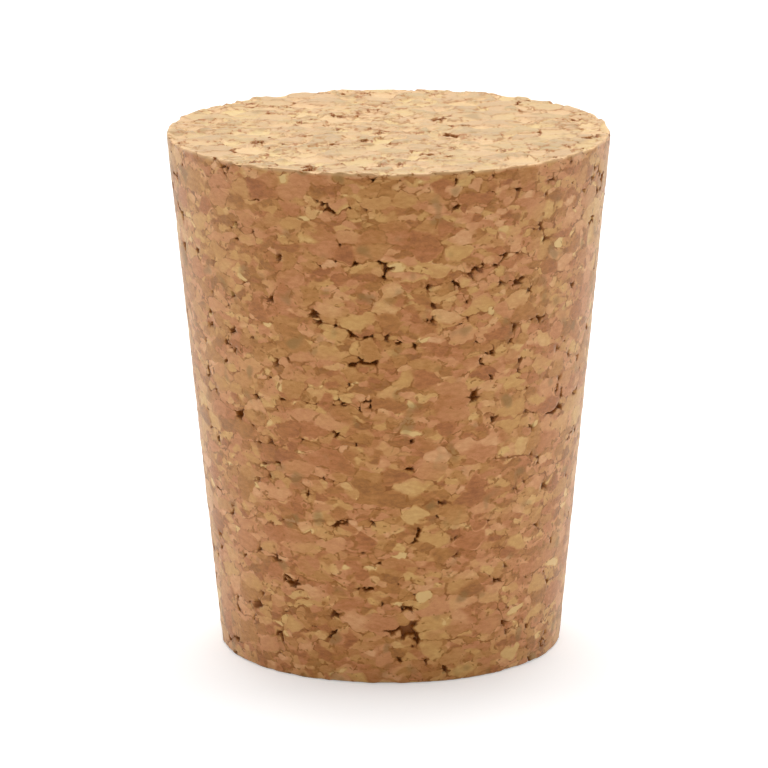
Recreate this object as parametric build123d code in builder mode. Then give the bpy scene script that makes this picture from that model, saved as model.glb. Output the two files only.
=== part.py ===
"""Cork stopper: a tapered plug moulded from pressed cork granules and ground to shape in one piece.

Millimetres, +Z up along the stopper's axis. The origin is the centre of the small end, which is
the face that the stopper stands on.
"""

import os

from build123d import *

# Driving dimensions, in millimetres. Each one can be set by itself.
top_diameter = 38.0
bottom_diameter = 29.5
height = 45.0
top_edge_radius = 0.2  # the grinder leaves both rims only just broken
bottom_edge_radius = 0.2

os.makedirs("parts", exist_ok=True)

# The stopper is solid all through, so half of its section, turned about the axis, is the whole of it.
with BuildPart() as cork_stopper:
    with BuildSketch(Plane.XZ):
        with BuildLine():
            Polyline(
                (0, 0),
                (bottom_diameter / 2, 0),
                (top_diameter / 2, height),
                (0, height),
                close=True,
            )
        make_face()
    revolve(axis=Axis.Z)

    rims = cork_stopper.edges().filter_by(GeomType.CIRCLE).sort_by(Axis.Z)
    bottom_rim = rims[0]
    top_rim = rims[-1]
    fillet(bottom_rim, bottom_edge_radius)
    fillet(top_rim, top_edge_radius)

cork_stopper.part.label = "cork_stopper"
export_step(cork_stopper.part, "parts/cork_stopper.step")

print(f"taper: {(top_diameter - bottom_diameter) / 2 / height:.4f} mm of radius per mm of height")
print(f"volume: {cork_stopper.part.volume / 1000:.2f} cm3")
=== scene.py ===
# %% [markdown]
# # A cork stopper, pressed from granules
#
# The object is one piece: a tapered plug. Waste bark is ground to granules of two to four
# millimetres, mixed with a little binder, pressed in a mould, cured, and then ground to a smooth
# cone. What makes it look like cork is all in its skin: flattened granules of slightly different
# browns, dark open pits where three granules failed to meet, and hairline seams between them.
#
# The plan of this lesson:
#
# 1. load the imported part, and read the stopper's sizes from it
# 2. model a clean blank from a subdivided cube
# 3. write one recipe for the granules, as nodes
# 4. use that recipe in Geometry Nodes, to cut pits and steps into the blank
# 5. unroll the skin, so that its colours can be baked
# 6. use the same recipe in the material, so that colour and relief agree
# 7. light it, aim a camera at it, and attach it to its body

import math

import bmesh
import bpy
import numpy as np
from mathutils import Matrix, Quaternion, Vector


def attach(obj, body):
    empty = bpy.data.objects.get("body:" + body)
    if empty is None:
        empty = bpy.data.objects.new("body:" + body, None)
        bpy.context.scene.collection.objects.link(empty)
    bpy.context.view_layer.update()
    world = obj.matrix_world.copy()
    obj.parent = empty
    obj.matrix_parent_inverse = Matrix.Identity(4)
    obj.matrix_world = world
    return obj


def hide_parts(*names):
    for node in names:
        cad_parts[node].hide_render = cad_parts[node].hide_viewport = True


MM = 0.001

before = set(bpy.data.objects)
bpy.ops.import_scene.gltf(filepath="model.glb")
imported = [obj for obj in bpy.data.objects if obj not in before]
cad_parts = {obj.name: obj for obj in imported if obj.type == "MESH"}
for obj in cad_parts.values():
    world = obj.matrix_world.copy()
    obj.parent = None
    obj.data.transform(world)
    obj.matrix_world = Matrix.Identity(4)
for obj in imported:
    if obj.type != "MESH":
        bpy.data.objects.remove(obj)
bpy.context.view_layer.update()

# %% [markdown]
# ## Sizes from the frame
#
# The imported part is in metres, and its mesh has a ring of vertices at each of a few heights. The
# two neighbouring rings with the widest gap are both on the straight cone, so they give its
# slope. The lowest and highest rings on that line are where the cone ends and the rounded rims
# begin. Reading the sizes this way keeps the visual model true to the CAD part.

# %% Read the profile
NODE = "cork_stopper"
HEIGHT_DIGITS = 6
ON_THE_LINE = 0.0005 * MM


def rings_of(mesh):
    """The outermost radius at each height of a turned mesh, as sorted (height, radius) pairs."""
    widest = {}
    for vertex in mesh.vertices:
        level = round(vertex.co.z, HEIGHT_DIGITS)
        widest[level] = max(widest.get(level, 0.0), vertex.co.xy.length)
    return sorted(widest.items())


rings = rings_of(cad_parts[NODE].data)
widest_gap = max(range(len(rings) - 1), key=lambda i: rings[i + 1][0] - rings[i][0])
(z_a, r_a), (z_b, r_b) = rings[widest_gap], rings[widest_gap + 1]
slope = (r_b - r_a) / (z_b - z_a)
on_cone = [(z, r) for z, r in rings if abs(r_a + slope * (z - z_a) - r) < ON_THE_LINE]
(cone_low_z, cone_low_r), (cone_high_z, cone_high_r) = on_cone[0], on_cone[-1]
base_z, base_r = rings[0]
top_z, top_r = rings[-1]
height = top_z - base_z
print(f"base {2 * base_r / MM:.2f} mm wide, top {2 * top_r / MM:.2f} mm, height {height / MM:.2f} mm")
print(f"cone from z {cone_low_z / MM:.2f} to {cone_high_z / MM:.2f} mm")

# %% [markdown]
# ## The blank
#
# A turned shape could come from spinning its section, but then all the faces of the two flat ends
# crowd into needles at the middle, and relief cut into needles looks like a star. A cube has no
# such poles. It is subdivided into even squares, and each square ring of its ends is then
# rounded to a circle. The four upright edges of the cube vanish into the side.
#
# The section is walked by its own length, so that the mesh rings are evenly spaced on the cone
# and each rounded rim gets rings of its own.

# %% Walk the section
RIM_RINGS = 3
CONE_RINGS = 96


def rim_arc(start, end, corner):
    """Points of a small rounded rim from start to end, bulging towards the sharp corner."""
    points = []
    for step in range(1, RIM_RINGS):
        t = step / RIM_RINGS
        a, b, c = (1 - t) ** 2, 2 * t * (1 - t), t**2
        points.append(tuple(a * s + b * m + c * e for s, m, e in zip(start, corner, end)))
    return points


def section():
    """(radius, z) points from the rim of the base up to the rim of the top."""
    base_corner = (cone_low_r - slope * (cone_low_z - base_z), base_z)
    top_corner = (cone_high_r + slope * (top_z - cone_high_z), top_z)
    points = [(base_r, base_z)]
    points += rim_arc((base_r, base_z), (cone_low_r, cone_low_z), base_corner)
    for ring in range(CONE_RINGS + 1):
        t = ring / CONE_RINGS
        radius = cone_low_r + t * (cone_high_r - cone_low_r)
        z = cone_low_z + t * (cone_high_z - cone_low_z)
        points.append((radius, z))
    points += rim_arc((cone_high_r, cone_high_z), (top_r, top_z), top_corner)
    points.append((top_r, top_z))
    return points


profile = section()
print("section:", len(profile), "rings")

# %% [markdown]
# ## From cube to plug
#
# The cube runs from -1 to 1 each way. Its level edges are cut first and its upright ones after, so
# that every side face becomes a grid. Then each vertex is moved once: sideways from its square
# ring to a circle, and up or down to its own ring of the section.

# %% Model the blank
CUBE_SIDE = 2.0
SIDE_CUTS = 63
AT_CENTRE = 1e-9


def circle_from_square(x, y):
    """A point of the square as (share of the radius, angle), so that square rings become circles."""
    reach = max(abs(x), abs(y))
    if reach < AT_CENTRE:
        return 0.0, 0.0
    if abs(x) >= abs(y):
        return reach, math.pi / 4 * y / x + (math.pi if x < 0 else 0.0)
    return reach, math.pi / 2 - math.pi / 4 * x / y + (math.pi if y < 0 else 0.0)


def is_upright(edge):
    """True for an edge of the cube that runs from its base to its top."""
    return abs(edge.verts[0].co.z - edge.verts[1].co.z) > CUBE_SIDE / 2


def blank_bmesh():
    """The stopper without relief: a subdivided cube, rounded and tapered."""
    bm = bmesh.new()
    bmesh.ops.create_cube(bm, size=CUBE_SIDE)
    level = [edge for edge in bm.edges if not is_upright(edge)]
    bmesh.ops.subdivide_edges(bm, edges=level, cuts=SIDE_CUTS, use_grid_fill=True)
    upright = [edge for edge in bm.edges if is_upright(edge)]
    bmesh.ops.subdivide_edges(bm, edges=upright, cuts=len(profile) - 2, use_grid_fill=True)
    for vertex in bm.verts:
        share, angle = circle_from_square(vertex.co.x, vertex.co.y)
        ring = round((vertex.co.z / CUBE_SIDE + 0.5) * (len(profile) - 1))
        radius, z = profile[ring]
        vertex.co = (share * radius * math.cos(angle), share * radius * math.sin(angle), z)
    bmesh.ops.recalc_face_normals(bm, faces=bm.faces)
    return bm


blank = blank_bmesh()
print("blank:", len(blank.verts), "vertices,", len(blank.faces), "faces")

# %% [markdown]
# ## The granule recipe
#
# The pattern is worked out once, by one function that adds nodes to a tree and hands back its
# results. Voronoi, Noise and Math nodes are the same in shader trees and in geometry trees, so
# the same function serves both, and a pit cut into the mesh lies exactly under its dark colour.

# %% Small helpers for building node trees
NOISE_ROUGHNESS = 0.55
NOISE_MIDDLE = 0.5


class Recipe:
    """Adds nodes to one tree. Each method takes numbers or sockets, and gives back a socket."""

    def __init__(self, tree):
        self.tree = tree

    def node(self, kind, inputs, output=0, **settings):
        made = self.tree.nodes.new(kind)
        for name, value in settings.items():
            setattr(made, name, value)
        for key, value in inputs.items():
            if isinstance(value, bpy.types.NodeSocket):
                self.tree.links.new(value, made.inputs[key])
            else:
                made.inputs[key].default_value = value
        return made if output is None else made.outputs[output]

    def math(self, operation, *values):
        return self.node("ShaderNodeMath", dict(enumerate(values)), operation=operation)

    def vector(self, operation, *values, output=0):
        return self.node("ShaderNodeVectorMath", dict(enumerate(values)), output, operation=operation)

    def scaled(self, vector, factor):
        return self.node("ShaderNodeVectorMath", {0: vector, "Scale": factor}, operation="SCALE")

    def noise(self, place, feature, detail=2.0, output="Fac"):
        """Soft noise whose blobs are about that many millimetres across."""
        inputs = {
            "Vector": place,
            "Scale": 1.0 / feature,
            "Detail": detail,
            "Roughness": NOISE_ROUGHNESS,
        }
        return self.node("ShaderNodeTexNoise", inputs, output, noise_dimensions="3D")

    def centred_noise(self, place, feature, detail=2.0):
        """The same noise, moved to swing evenly below and above nought."""
        return self.math("SUBTRACT", self.noise(place, feature, detail), NOISE_MIDDLE)

    def cells(self, place, feature="F1", **more):
        """A Voronoi node with one cell per unit of place. Gives the node, for its several outputs."""
        inputs = {"Vector": place, "Scale": 1.0, "Randomness": 1.0, **more}
        settings = {"voronoi_dimensions": "3D", "feature": feature}
        return self.node("ShaderNodeTexVoronoi", inputs, None, **settings)

    def ease(self, value, low, high, to_low=0.0, to_high=1.0):
        """A smooth step: to_low where value is at most low, to_high where it is at least high."""
        inputs = {
            "Value": value,
            "From Min": low,
            "From Max": high,
            "To Min": to_low,
            "To Max": to_high,
        }
        return self.node("ShaderNodeMapRange", inputs, interpolation_type="SMOOTHSTEP")

    def blend(self, share, a, b, kind="FLOAT"):
        """a where share is 0, b where it is 1. The Mix node keeps other sockets for each kind."""
        slot_a, slot_b, result = {"FLOAT": (2, 3, 0), "VECTOR": (4, 5, 1), "RGBA": (6, 7, 2)}[kind]
        return self.node("ShaderNodeMix", {0: share, slot_a: a, slot_b: b}, result, data_type=kind)

    def parts(self, vector):
        made = self.node("ShaderNodeSeparateXYZ", {0: vector}, None)
        return made.outputs[0], made.outputs[1], made.outputs[2]


# %% [markdown]
# ## Granules, crumbs and pits
#
# A Voronoi texture scatters seed points and gives each place to its nearest seed, much as a
# granule grows against its neighbours when it is pressed. The cells are 2.2 mm wide and only
# 1.2 mm high, because pressing along the axis flattens them. Two noises bend the cells, a broad
# one so that no two are alike and a small one so that their edges are ragged.
#
# Where a cell drew a low lot, it is broken up into crumbs of half the size. Each granule's lot is
# a random colour, and the smooth kind of Voronoi fades one lot into the next, as binder does.
#
# The smooth distance is less than the true distance where several cells meet, so their difference
# is the gap between granules. It is joined by the reach, the distance from the nearest seed, which
# is greatest in the corners that no granule filled. A noise says where the whole mix is loose.

# %% The recipe itself
GRANULE_WIDE = 2.2
GRANULE_HIGH = 1.2
BROAD_BEND = (1.9, 1.5)
SMALL_BEND = (0.45, 0.22)
CRUMB_SHARE = 0.54
CRUMB_FADE = 0.03
CRUMB_SCALE = 2.0
CRUMB_SHIFT = (17.3, 5.1, 9.7)
SOFTNESS = 0.45
USUAL_REACH = 0.75
REACH_PULL = 0.5
LOOSE_PATCH = 2.0
LOOSE_DETAIL = 3.0
LOOSE_MOST = 0.13
LOOSE_PULL = 0.3
BIG_VOIDS_LESS = 0.021
FAR_FROM_EDGE = 1.0
NO_VOID = -1.0


def packing(recipe, place):
    """One size of granules at place, where a cell is one unit: its node results by name."""
    r = recipe
    sharp = r.cells(place)
    soft = r.cells(place, "SMOOTH_F1", Smoothness=SOFTNESS)
    border = r.cells(place, "DISTANCE_TO_EDGE")
    gap = r.math("SUBTRACT", sharp.outputs["Distance"], soft.outputs["Distance"])
    reach = r.math("SUBTRACT", sharp.outputs["Distance"], USUAL_REACH)
    void = r.math("MULTIPLY_ADD", reach, REACH_PULL, gap)
    return {"lot": soft.outputs["Color"], "void": void, "edge": border.outputs["Distance"]}


def bend(recipe, place, size_and_amount):
    """The offset that a colour noise gives to place, in millimetres."""
    size, amount = size_and_amount
    noise = recipe.noise(place, size, output="Color")
    centred = recipe.vector("SUBTRACT", noise, (NOISE_MIDDLE, NOISE_MIDDLE, NOISE_MIDDLE))
    return recipe.scaled(centred, amount)


def granules(recipe, place):
    """The granule pattern at place, a point of the blank in millimetres: its results by name."""
    r = recipe
    bent = r.vector("ADD", place, bend(r, place, BROAD_BEND))
    bent = r.vector("ADD", bent, bend(r, place, SMALL_BEND))
    packed = r.vector("MULTIPLY", bent, (1 / GRANULE_WIDE, 1 / GRANULE_WIDE, 1 / GRANULE_HIGH))
    crumbled = r.vector("ADD", r.scaled(packed, CRUMB_SCALE), CRUMB_SHIFT)

    whole = packing(r, packed)
    crumb = packing(r, crumbled)
    break_lot = r.parts(whole["lot"])[2]
    broken = r.ease(break_lot, CRUMB_SHARE - CRUMB_FADE, CRUMB_SHARE + CRUMB_FADE, 1.0, 0.0)
    lot = r.blend(broken, whole["lot"], crumb["lot"], "VECTOR")
    crumb_edge = r.blend(broken, FAR_FROM_EDGE, r.math("DIVIDE", crumb["edge"], CRUMB_SCALE))
    edge = r.math("MINIMUM", whole["edge"], crumb_edge)
    crumb_void = r.blend(broken, NO_VOID, crumb["void"])
    void = r.math("MAXIMUM", r.math("SUBTRACT", whole["void"], BIG_VOIDS_LESS), crumb_void)

    looseness = r.centred_noise(place, LOOSE_PATCH, LOOSE_DETAIL)
    capped = r.math("MINIMUM", looseness, LOOSE_MOST)
    openness = r.math("MULTIPLY_ADD", capped, LOOSE_PULL, void)
    return {"lot": lot, "edge": edge, "openness": openness, "looseness": looseness}


print(f"granules {GRANULE_WIDE} x {GRANULE_HIGH} mm, crumbs 1/{CRUMB_SCALE:.0f} of that")

# %% [markdown]
# ## Which way the blank faces
#
# The side and the two ends are treated differently, so the recipe has to know where it is. It
# could read the mesh's normals, but those are uneven where small triangles meet large ones. The
# blank is a plain cone, so its faces follow from the place alone: how near it is to the cone, to
# the top and to the base. Near a rim two of these are high at once, and the direction outwards
# leans over evenly from one face to the other, so neighbouring cuts never cross.

# %% Facing and direction, from the place
CORNER = 0.9


def facing(recipe, place):
    """How much each place of the blank faces outwards, up and down, from 0 to 1, by name."""
    r = recipe
    x, y, z = r.parts(place)
    from_axis = r.vector("LENGTH", r.vector("MULTIPLY", place, (1.0, 1.0, 0.0)), output="Value")
    above_cone_start = r.math("SUBTRACT", z, cone_low_z / MM)
    cone_radius = r.math("MULTIPLY_ADD", above_cone_start, slope, cone_low_r / MM)

    def near(distance):
        inputs = {"Value": distance, "From Max": CORNER, "To Min": 1.0, "To Max": 0.0}
        return r.node("ShaderNodeMapRange", inputs)

    out = near(r.math("SUBTRACT", cone_radius, from_axis))
    up = near(r.math("SUBTRACT", top_z / MM, z))
    down = near(r.math("SUBTRACT", z, base_z / MM))
    return {"out": out, "up": up, "down": down}


def outwards(recipe, place):
    """The direction out of the blank at a place."""
    r = recipe
    faces = facing(r, place)
    level = r.vector("NORMALIZE", r.vector("MULTIPLY", place, (1.0, 1.0, 0.0)))
    lift = r.math("SUBTRACT", faces["up"], faces["down"])
    upright = r.node("ShaderNodeCombineXYZ", {2: lift})
    return r.vector("NORMALIZE", r.vector("ADD", r.scaled(level, faces["out"]), upright))


print(f"a place counts as part of a face when it is less than {CORNER} mm from it")

# %% [markdown]
# ## Relief
#
# The side was ground, so its granules are flush and only the pits are deep. The top was cut
# across, which tears granules out, so there each granule also stands at a height of its own. The
# base was cut too, but the stopper stands on it, so its steps are small. All of it is cut
# inwards: a ground stopper is never wider than the cone it was ground to.

# %% How deep the surface is cut at each point
OPEN_AT = 0.106
OPEN_FULLY_AT = 0.145
PIT_LIP = 0.004
PIT_DEEP = 0.65
SIDE_STEP = 0.07
TOP_STEP = 0.38
BASE_STEP = 0.1
LEAST_CUT = 0.01


def relief(recipe, pattern, place):
    """Depth of the cut below the blank, in millimetres, at a point of the pattern."""
    r = recipe
    faces = facing(r, place)
    pit = r.ease(pattern["openness"], OPEN_AT - PIT_LIP, OPEN_FULLY_AT, 0.0, PIT_DEEP)
    step = r.blend(faces["down"], r.blend(faces["up"], SIDE_STEP, TOP_STEP), BASE_STEP)
    depth = r.math("MULTIPLY_ADD", r.parts(pattern["lot"])[0], step, pit)
    return r.math("MAXIMUM", depth, LEAST_CUT)


print(f"pits {PIT_DEEP} mm deep, steps on the top up to {TOP_STEP} mm")

# %% [markdown]
# ## The cutting tree
#
# Geometry Nodes reads each vertex's place, works out the recipe there, and pushes the vertex in.
# It also writes down where the vertex was before, as the attribute blank_place. The material reads
# that attribute, so it sees the same place as the cut did, however deep the vertex now lies.

# %% Build the cutting tree
def cutting_group():
    """Geometry Nodes that move each vertex inwards by the relief, and note where it was before."""
    group = bpy.data.node_groups.new("cut_cork_relief", "GeometryNodeTree")
    group.interface.new_socket("Geometry", in_out="INPUT", socket_type="NodeSocketGeometry")
    group.interface.new_socket("Geometry", in_out="OUTPUT", socket_type="NodeSocketGeometry")
    r = Recipe(group)
    mesh = group.nodes.new("NodeGroupInput").outputs["Geometry"]
    before = r.node("GeometryNodeInputPosition", {})
    place = r.scaled(before, 1 / MM)
    pattern = granules(r, place)
    depth = relief(r, pattern, place)
    notes = (
        ("blank_place", "FLOAT_VECTOR", before),
        ("openness", "FLOAT", pattern["openness"]),
    )
    for name, kind, value in notes:
        inputs = {"Geometry": mesh, "Name": name, "Value": value}
        mesh = r.node("GeometryNodeStoreNamedAttribute", inputs, data_type=kind, domain="POINT")
    inwards = r.scaled(outwards(r, place), r.math("MULTIPLY", depth, -MM))
    mesh = r.node("GeometryNodeSetPosition", {"Geometry": mesh, "Offset": inwards})
    out = group.nodes.new("NodeGroupOutput")
    group.links.new(mesh, out.inputs["Geometry"])
    return group


cutting = cutting_group()
print("cutting tree:", len(cutting.nodes), "nodes")

# %% [markdown]
# ## Fine mesh only where it is needed
#
# A pit is a few tenths of a millimetre wide, and a mesh that fine all over would be millions of
# faces. So the top, which is torn all over, is split once more than the rest. Then the blank is
# cut as a trial, the edges near open places are split, and the trial is made again, finer each
# time. Each round asks for more openness than the last, so the finest faces are only at the pits
# themselves.

# %% Refine the blank
FINEST_EDGE = 0.1
REFINE_WHERE_OPEN = (0.08, 0.098, 0.107)
LEVEL_WITH = 0.0001 * MM


def cut_mesh(bm, name):
    """A new mesh: the bmesh with the cutting tree run over it."""
    mesh = bpy.data.meshes.new(name)
    bm.to_mesh(mesh)
    mesh.shade_smooth()
    holder = bpy.data.objects.new(name, mesh)
    bpy.context.scene.collection.objects.link(holder)
    holder.modifiers.new("cut", "NODES").node_group = cutting
    graph = bpy.context.evaluated_depsgraph_get()
    result = bpy.data.meshes.new_from_object(holder.evaluated_get(graph))
    bpy.data.objects.remove(holder)
    bpy.data.meshes.remove(mesh)
    return result


def readings(mesh, name):
    """A float attribute of a mesh, as an array."""
    values = np.zeros(len(mesh.vertices), np.float32)
    mesh.attributes[name].data.foreach_get("value", values)
    return values


def on_top(part):
    """True for an edge or a face of the blank that lies wholly in its flat top."""
    return min(vertex.co.z for vertex in part.verts) > top_z - LEVEL_WITH


def on_base(part):
    """True for an edge or a face of the blank that lies wholly in its flat base."""
    return max(vertex.co.z for vertex in part.verts) < base_z + LEVEL_WITH


def split(edges):
    """Cut each of those edges of the blank in two."""
    bmesh.ops.subdivide_edges(blank, edges=edges, cuts=1, use_grid_fill=True)
    blank.verts.index_update()


split([edge for edge in blank.edges if on_top(edge)])
for limit in REFINE_WHERE_OPEN:
    trial = cut_mesh(blank, "trial")
    opens = readings(trial, "openness")
    bpy.data.meshes.remove(trial)
    chosen = []
    for edge in blank.edges:
        near_a_pit = max(opens[vertex.index] for vertex in edge.verts) > limit
        if near_a_pit and edge.calc_length() > FINEST_EDGE * MM:
            chosen.append(edge)
    split(chosen)
    print(f"openness over {limit}: split {len(chosen)} edges")
bmesh.ops.triangulate(blank, faces=blank.faces)
print("refined:", len(blank.verts), "vertices,", len(blank.faces), "triangles")

# %% [markdown]
# ## Unrolling the skin
#
# A baked texture needs every face to have its own place on a square. A tapered plug unrolls like a
# paper label: the side becomes a strip, cut open down the back, and the two ends become discs
# above it. The strip is as long as it can be, and a little stretched upwards to use the room.

# %% Lay out the UV map
MARGIN = 0.01
STRIP_TOP = 0.54
DISC_AREA = (0.56, 0.99)
TOP_DISC_U = 0.25
BASE_DISC_U = 0.75
BACK_SEAM = math.pi / 2
FULL_TURN = 2 * math.pi


def from_seam(x, y):
    """The angle of a point about the axis, from 0 to a full turn, counted from the back seam."""
    return (math.atan2(y, x) - BACK_SEAM) % FULL_TURN


def on_strip(point, middle_angle):
    """UV of a point of the side, in a face whose middle is at that angle from the seam."""
    angle = from_seam(point.x, point.y)
    angle += FULL_TURN * round((middle_angle - angle) / FULL_TURN)
    walked = point.z - base_z
    walked -= cone_low_r - point.xy.length if point.z < cone_low_z else 0.0
    walked += cone_high_r - point.xy.length if point.z > cone_high_z else 0.0
    low = base_r - cone_low_r
    high = height + cone_high_r - top_r
    across = MARGIN + (1 - 2 * MARGIN) * angle / FULL_TURN
    up = MARGIN + (STRIP_TOP - 2 * MARGIN) * (walked - low) / (high - low)
    return across, up


def on_disc(point, middle_u, turned):
    """UV of a point of a flat end, in the disc about middle_u. turned is -1 if seen from below."""
    low, high = DISC_AREA
    scale = (high - low) / (2 * top_r)
    return middle_u + scale * turned * point.x, (low + high) / 2 + scale * point.y


layer = blank.loops.layers.uv.new("OFBake")
for face in blank.faces:
    middle = face.calc_center_median()
    for loop in face.loops:
        point = loop.vert.co
        if on_top(face):
            loop[layer].uv = on_disc(point, TOP_DISC_U, 1)
        elif on_base(face):
            loop[layer].uv = on_disc(point, BASE_DISC_U, -1)
        else:
            loop[layer].uv = on_strip(point, from_seam(middle.x, middle.y))
print("unrolled", len(blank.faces), "triangles")

# %% [markdown]
# ## The finished mesh
#
# The refined blank goes through the cutting tree one last time, and what comes out is a plain
# mesh with the relief in it. The tree could stay on the object as a live modifier, but a plain
# mesh is what a mould maker or a printer would be given, and it opens in any program.

# %% Cut the stopper
cork_mesh = cut_mesh(blank, "cork_stopper_skin")
blank.free()
cork = bpy.data.objects.new("stopper", cork_mesh)
bpy.context.scene.collection.objects.link(cork)
in_pits = (readings(cork_mesh, "openness") > OPEN_AT).mean()
print(f"{100 * in_pits:.1f} % of its vertices are in pits")

# %% [markdown]
# ## Colour
#
# Bark granules are all one family of browns: pinkish where the cut runs along the bark, more
# golden where it runs across. So the hues stay close together, and lightness varies more than hue.
# The material is built up as a painter would: the bark of each granule first, then the paler
# ends, then rare granules, and the dark marks last. All of them ask the same pattern, so the
# granule recipe is wrapped as one node, and each step after it is a mask that lays one more
# colour over the last.

# %% The pattern, as a shader group
PATTERN_RESULTS = {
    "Lot": "NodeSocketColor",
    "Edge": "NodeSocketFloat",
    "Openness": "NodeSocketFloat",
    "Looseness": "NodeSocketFloat",
}


def granule_group():
    """The granule recipe wrapped as one shader node."""
    group = bpy.data.node_groups.new("cork_granules", "ShaderNodeTree")
    group.interface.new_socket("Place", in_out="INPUT", socket_type="NodeSocketVector")
    for name, kind in PATTERN_RESULTS.items():
        group.interface.new_socket(name, in_out="OUTPUT", socket_type=kind)
    pattern = granules(Recipe(group), group.nodes.new("NodeGroupInput").outputs["Place"])
    out = group.nodes.new("NodeGroupOutput")
    for name in PATTERN_RESULTS:
        group.links.new(pattern[name.lower()], out.inputs[name])
    return group


material = bpy.data.materials.new("pressed_cork")
material.use_nodes = True
tree = material.node_tree
shader = tree.nodes["Principled BSDF"]
r = Recipe(tree)
place = r.node("ShaderNodeAttribute", {}, "Vector", attribute_name="blank_place")
place = r.scaled(place, 1 / MM)
skin = tree.nodes.new("ShaderNodeGroup")
skin.node_tree = granule_group()
tree.links.new(place, skin.inputs["Place"])
lot_light, lot_hue = r.parts(skin.outputs["Lot"])[:2]
edge = skin.outputs["Edge"]
openness = skin.outputs["Openness"]
looseness = skin.outputs["Looseness"]
print("granule group:", len(skin.node_tree.nodes), "nodes")

# %% [markdown]
# ## The bark of each granule
#
# One part of a granule's lot places it on a ramp from dark to pale bark. Soft clouds of three
# sizes shift it along the ramp, and they are squashed along the axis as the granules are, so they
# read as the fibres of the bark. Another part of the lot, with a slow drift over the whole
# stopper, casts it towards pink or towards yellow. Dark bark is more saturated than pale bark,
# which is why this is a ramp of real colours and not one brown made lighter and darker.

# %% Paint the bark
BARK_STOPS = (
    (0.0, (156, 94, 36)),
    (0.25, (186, 119, 56)),
    (0.5, (205, 141, 82)),
    (0.75, (218, 159, 98)),
    (1.0, (233, 183, 122)),
)
DARKEST_LOT = 0.1
PALEST_LOT = 0.9
CLOUDS = ((3.5, 0.16), (0.6, 0.34), (0.16, 0.16))
CLOUD_DETAIL = 3.0
FIBRE_SQUASH = (1.0, 1.0, 2.2)
PINKER = (1.03, 0.955, 1.05)
YELLOWER = (0.99, 1.055, 0.87)
HUE_PATCH = 5.0
HUE_DRIFT = 1.4
YELLOW_FROM = (0.15, 0.85)


def paint(red, green, blue):
    """A colour given as on a paint chart, 0 to 255, as Blender's linear red, green, blue and alpha."""
    shares = (red / 255, green / 255, blue / 255)
    linear = (c / 12.92 if c <= 0.04045 else ((c + 0.055) / 1.055) ** 2.4 for c in shares)
    return (*linear, 1.0)


def ramp(recipe, value, stops):
    """A colour ramp over value, from (position, chart colour) pairs."""
    made = recipe.tree.nodes.new("ShaderNodeValToRGB")
    elements = made.color_ramp.elements
    while len(elements) < len(stops):
        elements.new(0.5)
    for element, (position, colour) in zip(elements, stops):
        element.position = position
        element.color = paint(*colour)
    recipe.tree.links.new(value, made.inputs[0])
    return made.outputs[0]


lot_range = {"Value": lot_light, "To Min": DARKEST_LOT, "To Max": PALEST_LOT}
tone = r.node("ShaderNodeMapRange", lot_range)
fibres = r.vector("MULTIPLY", place, FIBRE_SQUASH)
for size, strength in CLOUDS:
    cloud = r.centred_noise(fibres, size, CLOUD_DETAIL)
    tone = r.math("MULTIPLY_ADD", cloud, 2 * strength, tone)
drifted_hue = r.math("MULTIPLY_ADD", r.centred_noise(place, HUE_PATCH), HUE_DRIFT, lot_hue)
cast = r.blend(r.ease(drifted_hue, *YELLOW_FROM), PINKER, YELLOWER, "VECTOR")
bark = r.vector("MULTIPLY", ramp(r, tone, BARK_STOPS), cast)
print("bark:", len(BARK_STOPS), "tones,", len(CLOUDS), "sizes of cloud")

# %% [markdown]
# ## Paler ends
#
# The ends are raw cuts, and raw cork is paler and greyer than a side that was ground and
# handled. The top rim is painted palest of all: a painted highlight where light from above catches its
# rounded edge.

# %% Paint the ends, and a painted highlight on the top rim
END_TINT = paint(184, 182, 136)
END_TINT_SHARE = 0.4
END_COLOUR_FROM = 0.8
RIM_HIGHLIGHT = paint(226, 184, 132)
RIM_HIGHLIGHT_FROM = (0.5, 0.9)
RIM_HIGHLIGHT_SHARE = 0.6

faces = facing(r, place)
at_end = r.ease(r.math("MAXIMUM", faces["up"], faces["down"]), END_COLOUR_FROM, 1.0)
shade = r.blend(r.math("MULTIPLY", at_end, END_TINT_SHARE), bark, END_TINT, "RGBA")
# The rim mask is a painted highlight: pale cream where the top meets the side, standing for light
# caught by the edge.
rim = r.ease(r.math("MULTIPLY", faces["up"], faces["out"]), *RIM_HIGHLIGHT_FROM, 0.0, RIM_HIGHLIGHT_SHARE)
shade = r.blend(rim, shade, RIM_HIGHLIGHT, "RGBA")
print(f"end tint {END_TINT_SHARE:.0%}, rim {RIM_HIGHLIGHT_SHARE:.0%}")

# %% [markdown]
# ## Rare granules
#
# A few granules are slivers of young cork, straw-coloured and nearly plain. They are the ones that
# drew high in two parts of their lot at once, so they are rare and always whole. Greyish spots
# where the bark had weathered on the tree pay no heed to the granules, so they come from a noise.

# %% Paint slivers and weathered spots
SLIVER = paint(240, 200, 132)
SLIVER_LIGHT = (0.86, 0.89)
SLIVER_HUE = (0.8, 0.83)
SLIVER_SHARE = 0.85
WEATHERED = paint(142, 106, 44)
WEATHERED_PATCH = 2.2
WEATHERED_DETAIL = 1.0
WEATHERED_FROM = (0.62, 0.76)
WEATHERED_SHARE = 0.6

sliver = r.math("MULTIPLY", r.ease(lot_light, *SLIVER_LIGHT), r.ease(lot_hue, *SLIVER_HUE))
sliver = r.math("MULTIPLY", sliver, r.math("SUBTRACT", 1.0, at_end))
shade = r.blend(r.math("MULTIPLY", sliver, SLIVER_SHARE), shade, SLIVER, "RGBA")
spots = r.noise(place, WEATHERED_PATCH, WEATHERED_DETAIL)
weathered = r.ease(spots, *WEATHERED_FROM, 0.0, WEATHERED_SHARE)
shade = r.blend(weathered, shade, WEATHERED, "RGBA")
print("slivers where lots exceed", SLIVER_LIGHT[0], "and", SLIVER_HUE[0])
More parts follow.
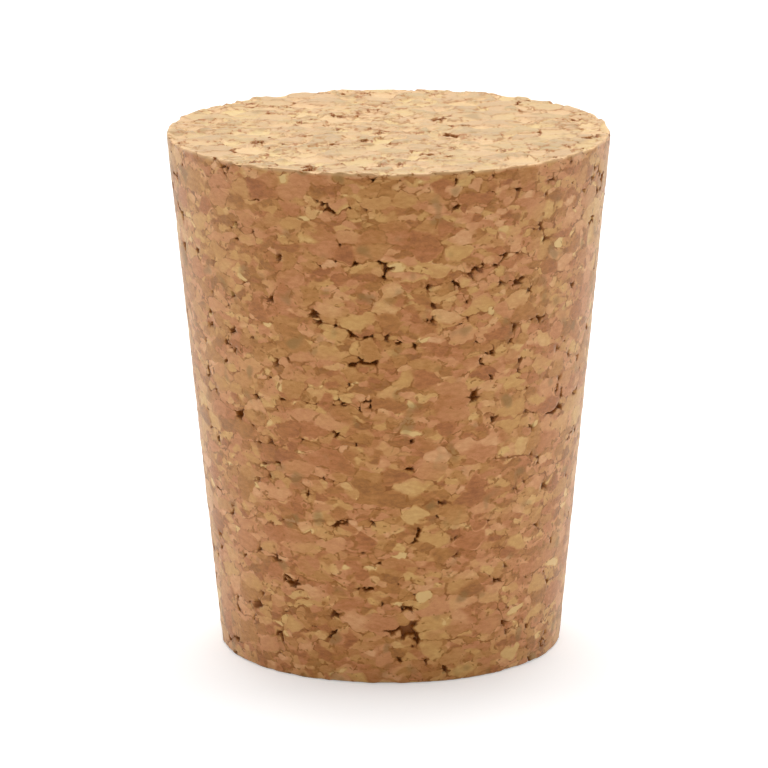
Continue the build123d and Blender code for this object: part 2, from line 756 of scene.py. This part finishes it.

# %% [markdown]
# ## Dark marks
#
# Seams are hairlines of binder, seen only where the mix is loose, and sooner on the torn top than
# on the ground side. Specks are painted shade: small brown spots along a seam that stand for tiny
# holes where crumbs fell out, which are not cut into the mesh. Around each pit a ring of painted
# shade darkens the lip, and the pit has a dark brown bottom. The bottom isn't painted black: it is
# cut deep into the mesh, and its own shadow does the rest.

# %% Paint seams, painted shade of specks and pit lips, and pit bottoms
SEAM_DARK = paint(150, 95, 8)
SIDE_LOOSE = (0.04, 0.14)
SIDE_SEAM_SHARE = 0.45
END_LOOSE = (-0.08, 0.08)
END_SEAM_SHARE = 0.78
SEAM_WIDE = 0.06
SPECK_SIZE = 0.5
SPECK_DETAIL = 1.0
SPECK_FROM = (0.57, 0.64)
SPECK_SHARE = 0.8
SPECK_EDGE = (0.03, 0.08)
PIT_SHADE = paint(158, 95, 10)
PIT_SHADE_WIDE = 0.055
PIT_SHADE_SHARE = 0.85
PIT_DARK = paint(148, 84, 2)
PIT_FADE = 0.006

side_seam = r.ease(looseness, *SIDE_LOOSE, 0.0, SIDE_SEAM_SHARE)
end_seam = r.ease(looseness, *END_LOOSE, 0.0, END_SEAM_SHARE)
on_seam = r.ease(edge, 0.0, SEAM_WIDE, 1.0, 0.0)
seam = r.math("MULTIPLY", r.blend(at_end, side_seam, end_seam), on_seam)
shade = r.blend(seam, shade, SEAM_DARK, "RGBA")
# Painted shade: small brown specks along the seams stand for tiny holes that are not cut into the
# mesh.
speck_shade = r.ease(r.noise(place, SPECK_SIZE, SPECK_DETAIL), *SPECK_FROM, 0.0, SPECK_SHARE)
speck_shade = r.math("MULTIPLY", speck_shade, r.ease(edge, *SPECK_EDGE, 1.0, 0.0))
shade = r.blend(speck_shade, shade, PIT_SHADE, "RGBA")
# Painted shade: a brown ring darkens the lip around each pit, where the pit's shade falls.
pit_shade_ring = r.ease(openness, OPEN_AT - PIT_SHADE_WIDE, OPEN_AT - PIT_FADE, 0.0, PIT_SHADE_SHARE)
shade = r.blend(pit_shade_ring, shade, PIT_SHADE, "RGBA")
pit = r.ease(openness, OPEN_AT - PIT_FADE, OPEN_AT + PIT_FADE)
shade = r.blend(pit, shade, PIT_DARK, "RGBA")
tree.links.new(shade, shader.inputs["Base Color"])
print("pits are dark where openness is over", OPEN_AT)

# %% [markdown]
# ## Finish
#
# Cork is dry and full of air, so it is dull. Its surface still has a very fine grain, far too
# small to model, which a Bump node suggests. A little sheen stands for the fuzz of broken cells
# that catches light at the silhouette.

# %% Roughness, sheen and grain
DULL = 0.55
FUZZ = 0.25
FUZZ_TINT = (0.92, 1.0, 0.86, 1.0)
FUZZ_ROUGHNESS = 0.4
FINE_GRAIN = 0.09
COARSE_GRAIN = 4 * FINE_GRAIN
COARSE_SHARE = 1.5
GRAIN_HEIGHT = 0.02 * MM

shader.inputs["Roughness"].default_value = DULL
shader.inputs["Sheen Weight"].default_value = FUZZ
shader.inputs["Sheen Tint"].default_value = FUZZ_TINT
shader.inputs["Sheen Roughness"].default_value = FUZZ_ROUGHNESS
coarse = r.math("MULTIPLY", r.noise(place, COARSE_GRAIN), COARSE_SHARE)
grain = r.math("ADD", r.noise(place, FINE_GRAIN), coarse)
bump_inputs = {"Height": grain, "Distance": GRAIN_HEIGHT, "Strength": 1.0}
tree.links.new(r.node("ShaderNodeBump", bump_inputs), shader.inputs["Normal"])
cork_mesh.materials.clear()
cork_mesh.materials.append(material)
print("material:", len(tree.nodes), "nodes, and", len(skin.node_tree.nodes), "in its group")

# %% [markdown]
# ## The stage
#
# The stopper stands on white paper under a white sky, as small goods are shown in a catalogue.
# Paper under this light would come out pale grey, so it also glows a little, but only for rays
# that come straight from the camera, from a reflection or through glass. Rays that light the cork
# don't see the glow, so it bleaches nothing. The paper is not lit up all the way, and keeps a soft
# shadow.

# %% Floor and sky
FLOOR_HALF_WIDTH = 0.36
PAPER = (0.8, 0.8, 0.8, 1.0)
PAPER_ROUGH = 0.9
PAPER_GLOW = 0.35
SKY_ON_CORK = 0.44
SKY_SEEN = 1.0
WHITE = (1.0, 1.0, 1.0, 1.0)


def seen_directly(recipe):
    """1 for rays from the camera, a reflection or clear glass, 0 for rays that carry light."""
    rays = recipe.node("ShaderNodeLightPath", {}, None).outputs
    mirrored = recipe.math("MAXIMUM", rays["Is Glossy Ray"], rays["Is Transmission Ray"])
    return recipe.math("MAXIMUM", rays["Is Camera Ray"], mirrored)


floor_mesh = bpy.data.meshes.new("floor")
bm = bmesh.new()
bmesh.ops.create_grid(bm, x_segments=1, y_segments=1, size=FLOOR_HALF_WIDTH)
bm.to_mesh(floor_mesh)
bm.free()
floor = bpy.data.objects.new("floor", floor_mesh)
bpy.context.scene.collection.objects.link(floor)

paper = bpy.data.materials.new("white_paper")
paper.use_nodes = True
paper_shader = paper.node_tree.nodes["Principled BSDF"]
paper_shader.inputs["Base Color"].default_value = PAPER
paper_shader.inputs["Roughness"].default_value = PAPER_ROUGH
paper_shader.inputs["Emission Color"].default_value = WHITE
r = Recipe(paper.node_tree)
glow = r.math("MULTIPLY", seen_directly(r), PAPER_GLOW)
paper.node_tree.links.new(glow, paper_shader.inputs["Emission Strength"])
floor_mesh.materials.append(paper)

world = bpy.data.worlds.new("studio")
bpy.context.scene.world = world
world.use_nodes = True
background = world.node_tree.nodes["Background"]
background.inputs["Color"].default_value = WHITE
r = Recipe(world.node_tree)
sky = r.blend(seen_directly(r), SKY_ON_CORK, SKY_SEEN)
world.node_tree.links.new(sky, background.inputs["Strength"])
print(f"floor {2 * FLOOR_HALF_WIDTH} m wide, sky at {SKY_ON_CORK} on the cork")

# %% [markdown]
# ## Lights
#
# Three sheets of light, nearly as wide as they are far away, so that no shadow has a hard edge.
# The one overhead is the strongest, and makes the cut top paler than the side. The two at the
# sides stand a little behind the stopper, and brighten its outline.

# %% Place the lights
MIDDLE = Vector((0.0, 0.0, height / 2))
LIGHTS = (
    ("overhead", 0.30, Vector((0.0, 0.10, 0.40)), 1.68),
    ("left", 0.25, Vector((-0.30, 0.14, 0.12)), 0.15),
    ("right", 0.25, Vector((0.30, 0.14, 0.12)), 0.15),
)

for name, size, at, watts in LIGHTS:
    sheet = bpy.data.lights.new(name, "AREA")
    sheet.shape = "SQUARE"
    sheet.size = size
    sheet.energy = watts
    lamp = bpy.data.objects.new(name, sheet)
    lamp.location = at
    lamp.rotation_mode = "QUATERNION"
    lamp.rotation_quaternion = (MIDDLE - at).to_track_quat("-Z", "Y")
    bpy.context.scene.collection.objects.link(lamp)
    print(f"{name}: {watts} W, {(at - MIDDLE).length:.2f} m away")

# %% [markdown]
# ## Camera
#
# A long lens from over 40 cm away, a little above the stopper. It shows the top as a thin ellipse,
# and the small base nearly in profile.

# %% Aim the camera
ELEVATION = math.radians(14.0)
DISTANCE = 0.4327
ROLL = math.radians(-0.25)
LENS = 234.8
SENSOR = 36.0
NEAREST = 0.01
FARTHEST = 10.0
AIM = MIDDLE + Vector((-0.0005, 0.0, 0.0))

eye = bpy.data.cameras.new("camera")
eye.lens = LENS
eye.sensor_width = SENSOR
eye.clip_start = NEAREST
eye.clip_end = FARTHEST
camera = bpy.data.objects.new("camera", eye)
camera.location = AIM + DISTANCE * Vector((0.0, -math.cos(ELEVATION), math.sin(ELEVATION)))
looking = (AIM - camera.location).to_track_quat("-Z", "Y")
camera.rotation_mode = "QUATERNION"
camera.rotation_quaternion = looking @ Quaternion((0, 0, 1), ROLL)
bpy.context.scene.collection.objects.link(camera)
bpy.context.scene.camera = camera
bpy.context.scene.view_settings.view_transform = "Standard"
print("camera at", [round(v, 3) for v in camera.location])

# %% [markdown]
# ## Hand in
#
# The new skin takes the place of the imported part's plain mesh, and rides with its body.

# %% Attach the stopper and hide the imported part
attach(cork, "root")
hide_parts(NODE)
